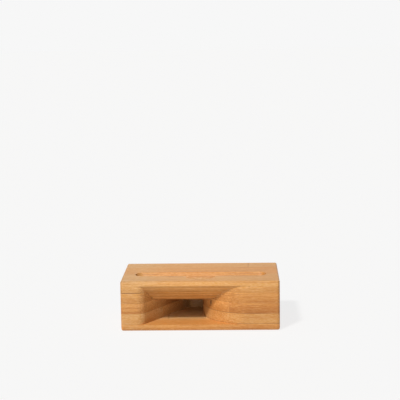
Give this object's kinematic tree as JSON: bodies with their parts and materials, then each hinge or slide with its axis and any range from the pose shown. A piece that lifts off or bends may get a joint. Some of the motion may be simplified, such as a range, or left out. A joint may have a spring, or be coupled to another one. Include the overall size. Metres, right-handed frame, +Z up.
{
  "type": "phone stand",
  "caption": "Low wooden block with a leaning slot that holds a phone upright, a thumb notch in front of it, and a folded horn that carries the speaker's sound to a wide mouth on the front.",
  "frame": {"origin": "middle of the flat bottom face", "axes": "+X to the right seen from the front, along the length and the bamboo's grain; +Y from the front mouth to the back; +Z up"},
  "size_m": [0.1, 0.055, 0.032],
  "materials": {
    "pale_bamboo": "sanded flat-pressed bamboo, thin satin oil",
    "honey_bamboo": "sanded flat-pressed bamboo, thin satin oil",
    "amber_bamboo": "sanded flat-pressed bamboo, thin satin oil"
  },
  "bodies": {
    "root": {"base_front_strip": "honey_bamboo", "base_middle_strip": "pale_bamboo", "base_rear_strip": "honey_bamboo", "lower_front_left_strip": "pale_bamboo", "lower_front_right_strip": "pale_bamboo", "lower_middle_left_strip": "honey_bamboo", "lower_divider_block": "honey_bamboo", "lower_middle_right_strip": "honey_bamboo", "lower_rear_strip": "pale_bamboo", "centre_edge_left_strip": "amber_bamboo", "centre_edge_right_strip": "amber_bamboo", "centre_front_left_strip": "honey_bamboo", "centre_front_right_strip": "honey_bamboo", "centre_middle_left_strip": "amber_bamboo", "centre_divider_block": "amber_bamboo", "centre_middle_right_strip": "amber_bamboo", "centre_rear_strip": "honey_bamboo", "upper_front_strip": "honey_bamboo", "upper_middle_strip": "amber_bamboo", "upper_rear_strip": "honey_bamboo", "top_front_strip": "pale_bamboo", "top_middle_strip": "honey_bamboo", "top_rear_strip": "pale_bamboo"}
  },
  "joints": []
}
